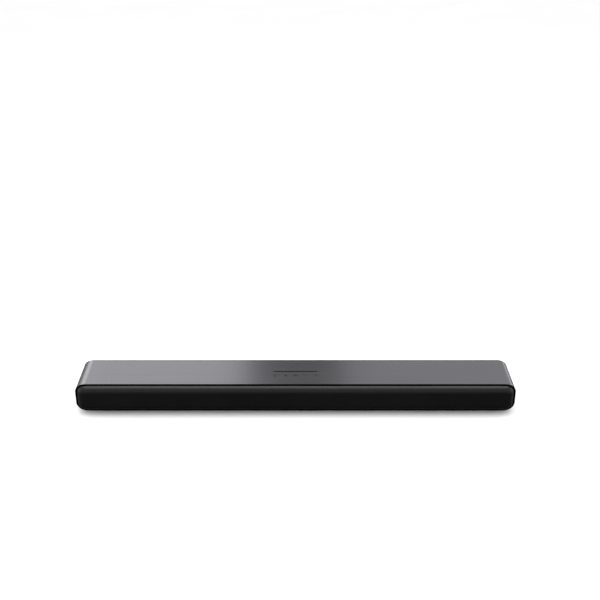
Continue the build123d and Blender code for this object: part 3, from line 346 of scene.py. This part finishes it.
LIGHTS = [                     # name, place, target, width and height, watts
    ("overhead", (0.0, 0.22, 1.6), (0.0, 0.0, 0.0), (2.4, 0.7), 19.0),
    ("left_back", (-0.79, 0.9, 0.66), (-0.79, 0.0, 0.06), (1.3, 0.8), 4.25),
    ("right_back", (0.79, 0.9, 0.70), (0.79, 0.0, 0.06), (1.3, 0.66), 1.7),
    ("left_low", (-0.80, 0.92, 0.49), (-0.4, 0.0, 0.05), (0.30, 0.24), 0.29),
    ("right_low", (1.0, 0.92, 0.16), (0.4, 0.0, 0.05), (0.34, 0.18), 0.3),
    ("left_side", (-1.5, 0.1, 0.45), (-0.4, 0.0, 0.05), (1.0, 0.8), 2.0),
    ("right_side", (1.5, 0.1, 0.45), (0.4, 0.0, 0.05), (1.0, 0.8), 2.0),
]
FLOOR_REACH = 30.0

# How bright the room looks in a reflection: from low in front of the bar (0) to high behind it (1).
ROOM_REFLECTION = [(0.08, 0.02), (0.29, 0.12), (0.43, 0.36), (0.60, 0.48), (0.75, 0.38), (0.91, 0.28)]
ROOM_TILT = math.radians(25.0)     # of that fade, from straight up towards the back
ROOM_WHITE = 1.12                  # brightness of the room, out of reflections


def area_light(name, location, target, size, power):
    """A soft rectangle of light, which the camera doesn't see."""
    data = bpy.data.lights.new(name, "AREA")
    data.shape = "RECTANGLE"
    data.size, data.size_y = size
    data.energy = power
    light = bpy.data.objects.new(name, data)
    light.visible_camera = False
    light.location = location
    light.rotation_euler = (Vector(target) - Vector(location)).to_track_quat("-Z", "Y").to_euler()
    scene.collection.objects.link(light)


def make_floor():
    """A wide pale floor, left out of reflections so that the dark finishes stay dark."""
    corners = [(x * FLOOR_REACH, y * FLOOR_REACH, 0) for x, y in ((-1, -1), (1, -1), (1, 1), (-1, 1))]
    mesh = bpy.data.meshes.new("floor")
    mesh.from_pydata(corners, [], [(0, 1, 2, 3)])
    g = Graph("floor")
    tone = g.noise(3.0)
    g.set(Base_Color=g.ramp(tone, (0.9, 0.9, 0.9), (0.92, 0.92, 0.92)), Roughness=0.85)
    mesh.materials.append(g.material)
    floor = bpy.data.objects.new("floor", mesh)
    floor.visible_glossy = False
    scene.collection.objects.link(floor)


def make_room():
    """A white room that lights everything evenly. In reflections it fades to dark, low in front."""
    world = bpy.data.worlds.new("room")
    world.use_nodes = True
    tree = world.node_tree
    white = tree.nodes["Background"]
    white.inputs["Strength"].default_value = ROOM_WHITE
    white.inputs["Color"].default_value = (1.0, 1.0, 1.0, 1.0)
    direction = tree.nodes.new("ShaderNodeTexCoord")
    along = tree.nodes.new("ShaderNodeVectorMath")
    along.operation = "DOT_PRODUCT"
    along.inputs[1].default_value = (0.0, math.sin(ROOM_TILT), math.cos(ROOM_TILT))
    height = tree.nodes.new("ShaderNodeMapRange")
    height.inputs["From Min"].default_value = -1.0
    ramp = tree.nodes.new("ShaderNodeValToRGB")
    ramp.color_ramp.interpolation = "B_SPLINE"
    stops = ramp.color_ramp.elements
    while len(stops) < len(ROOM_REFLECTION):
        stops.new(0.5)
    for stop, (at, value) in zip(stops, ROOM_REFLECTION):
        stop.position = at
        stop.color = (value, value, value, 1.0)
    reflected = tree.nodes.new("ShaderNodeBackground")
    path = tree.nodes.new("ShaderNodeLightPath")
    mix = tree.nodes.new("ShaderNodeMixShader")
    tree.links.new(direction.outputs["Generated"], along.inputs[0])
    tree.links.new(along.outputs["Value"], height.inputs["Value"])
    tree.links.new(height.outputs[0], ramp.inputs[0])
    tree.links.new(ramp.outputs[0], reflected.inputs["Color"])
    tree.links.new(path.outputs["Is Glossy Ray"], mix.inputs[0])
    tree.links.new(white.outputs[0], mix.inputs[1])
    tree.links.new(reflected.outputs[0], mix.inputs[2])
    tree.links.new(mix.outputs[0], tree.nodes["World Output"].inputs["Surface"])
    scene.world = world


def make_studio():
    """A pale floor in a white room, with soft lights overhead, behind and at the ends."""
    make_floor()
    make_room()
    for light in LIGHTS:
        area_light(*light)
    scene.view_settings.view_transform = "Standard"


# ---------------------------------------------------------------- added pieces
def new_piece(name, mesh, material):
    """An object from a finished bmesh, which is freed."""
    bmesh.ops.recalc_face_normals(mesh, faces=mesh.faces)
    data = bpy.data.meshes.new(name)
    mesh.to_mesh(data)
    mesh.free()
    data.materials.append(MATERIALS[material])
    piece = bpy.data.objects.new(name, data)
    scene.collection.objects.link(piece)
    return piece


# ---------------------------------------------------------------- printed symbols
INK_THICK = 0.04 * MM
INK_SUNK = INK_THICK / 4       # so that a symbol isn't loose on its key
INK_LINE = 0.95 * MM           # width of a line
SYMBOL = 5.8 * MM              # size of a symbol


def strip(mesh, points):
    """A raised line of constant width through flat points."""
    last = len(points) - 1
    sides = []
    for i, point in enumerate(points):
        run = (points[min(i + 1, last)] - points[max(i - 1, 0)]).normalized()
        across = Vector((-run.y, run.x)) * INK_LINE / 2
        sides.append((point - across, point + across))
    rows = []
    for left, right in sides:
        corners = ((left, 0.0), (left, INK_THICK), (right, INK_THICK), (right, 0.0))
        rows.append([mesh.verts.new((side.x, side.y, z)) for side, z in corners])
    for a, b in zip(rows, rows[1:]):
        for k in range(4):
            mesh.faces.new((a[k], a[(k + 1) % 4], b[(k + 1) % 4], b[k]))
    mesh.faces.new(rows[0][::-1])
    mesh.faces.new(rows[-1])


def arc(radius, start, end, steps=32):
    """Points on an arc round the middle, with angles in degrees anticlockwise from +X."""
    angles = [math.radians(start + (end - start) * i / steps) for i in range(steps + 1)]
    return [Vector((radius * math.cos(angle), radius * math.sin(angle))) for angle in angles]


def line(*points):
    """A run of straight lines through the points."""
    return [Vector(p) for p in points]


def symbol_lines(name):
    """A key's symbol as lines round its middle, as read by someone in front of the bar."""
    r = SYMBOL / 2
    if name == "power_key":
        return [arc(r * 0.9, 120, 420), line((0, r * 0.2), (0, r * 1.1))]
    if name == "input_key":
        left, right, up = -r * 0.2, r * 0.9, r * 0.85
        door = line((left, up), (right, up), (right, -up), (left, -up))
        arrow = line((-r, 0), (r * 0.4, 0))
        head = line((0, r * 0.4), (r * 0.4, 0), (0, -r * 0.4))
        return [door, arrow, head]
    if name == "pairing_key":
        return [
            arc(r * 0.12, 0, 350, steps=12),
            arc(r * 0.55, -50, 50),
            arc(r * 0.55, 130, 230),
            arc(r * 0.98, -50, 50),
            arc(r * 0.98, 130, 230),
        ]
    bar = line((-r * 0.8, 0), (r * 0.8, 0))
    if name == "volume_down_key":
        return [bar]
    return [bar, line((0, r * 0.8), (0, INK_LINE / 2)), line((0, -INK_LINE / 2), (0, -r * 0.8))]


def print_symbols():
    """A thin printed symbol on top of each key, which moves with it."""
    for name in ("power_key", "input_key", "pairing_key", "volume_down_key", "volume_up_key"):
        low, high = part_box(name)
        mesh = bmesh.new()
        for points in symbol_lines(name):
            strip(mesh, points)
        piece = new_piece(name + "_symbol", mesh, "printed_ink")
        middle = (low + high) / 2
        piece.data.transform(Matrix.Translation((middle.x, middle.y, high.z - INK_SUNK)))
        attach(piece, name)


# ---------------------------------------------------------------- mains inlet's pins
PIN_SPACING = 8.6 * MM
PIN_RADIUS = 1.23 * MM         # just over the CAD pin inside it
PIN_BACK = -10.9 * MM          # the pin's foot and shoulder, from the inlet's face
PIN_SHOULDER = -1.98 * MM
PIN_DOME = 0.6 * MM            # height and roundness of the tip
PIN_SIDES = 40
PIN_DOME_STEPS = 6


def pin_profile():
    """Depths and radii along a pin, from its foot to its domed tip."""
    profile = [(PIN_BACK, PIN_RADIUS)]
    for i in range(PIN_DOME_STEPS + 1):
        angle = math.pi / 2 * i / PIN_DOME_STEPS
        depth = PIN_SHOULDER + PIN_DOME * math.sin(angle)
        profile.append((depth, PIN_RADIUS - PIN_DOME * (1 - math.cos(angle))))
    return profile


def turned(mesh, profile, centre):
    """A closed, smooth body of revolution along +Y, through depths and radii from a centre."""
    rings = []
    for depth, radius in profile:
        ring = []
        for i in range(PIN_SIDES):
            angle = 2 * math.pi * i / PIN_SIDES
            x, z = centre.x + radius * math.cos(angle), centre.z + radius * math.sin(angle)
            ring.append(mesh.verts.new((x, centre.y + depth, z)))
        rings.append(ring)
    for a, b in zip(rings, rings[1:]):
        for i in range(PIN_SIDES):
            after = (i + 1) % PIN_SIDES
            mesh.faces.new((a[i], a[after], b[after], b[i])).smooth = True
    mesh.faces.new(rings[0])
    mesh.faces.new(rings[-1])


def plated_pins():
    """Two plated contact pins over the CAD's pins, standing in the mains inlet."""
    mounts = {mount["name"]: mount for mount in frame["record"]["mounts"]}
    face = Vector(mounts["power_input"]["pos_m"])
    for name, side in (("inlet_pin_left", -1), ("inlet_pin_right", 1)):
        mesh = bmesh.new()
        turned(mesh, pin_profile(), face + Vector((side * PIN_SPACING / 2, 0.0, 0.0)))
        piece = new_piece(name, mesh, "connector_metal")
        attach(piece, "cabinet")


dress_cad_nodes()
print_symbols()
plated_pins()
make_camera()
make_studio()
